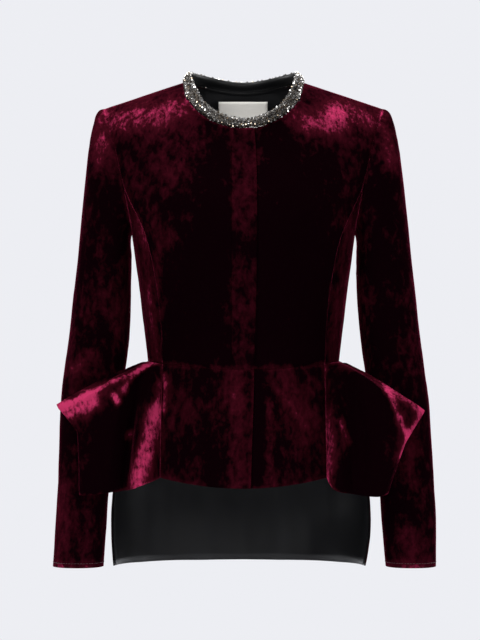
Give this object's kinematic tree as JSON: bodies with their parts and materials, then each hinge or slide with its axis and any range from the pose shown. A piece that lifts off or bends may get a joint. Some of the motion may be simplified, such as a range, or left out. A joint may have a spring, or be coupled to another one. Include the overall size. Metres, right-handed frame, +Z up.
{
  "type": "peplum blazer jacket",
  "caption": "Velvet peplum jacket with a round beaded neck, hidden front fastening, long sleeves and pointed hip drapes.",
  "frame": {"origin": "middle of the neck opening at the height of the shoulder line, where the wearer's neck passes", "axes": "+Z up along the wearer's neck, front faces -Y, +X to the wearer's left"},
  "size_m": [0.5155, 0.2388, 0.6684],
  "materials": {
    "velvet": "crushed velvet pile with a soft sheen",
    "lining": "smooth woven lining",
    "label": "plain woven tape",
    "beads": "faceted stones and small beads set close together"
  },
  "bodies": {
    "root": {"front_right": "velvet", "front_left": "velvet", "side_front_left": "velvet", "side_front_right": "velvet", "back_left": "velvet", "back_right": "velvet", "placket": "velvet", "sleeve_left": "velvet", "sleeve_right": "velvet", "neck_band": "beads", "back_neck_lining": "lining", "neck_label": "label", "front_peplum_left": "velvet", "hip_drape_left": "velvet", "front_peplum_right": "velvet", "hip_drape_right": "velvet", "back_peplum": "velvet", "back_peplum_lining": "lining"}
  },
  "joints": []
}
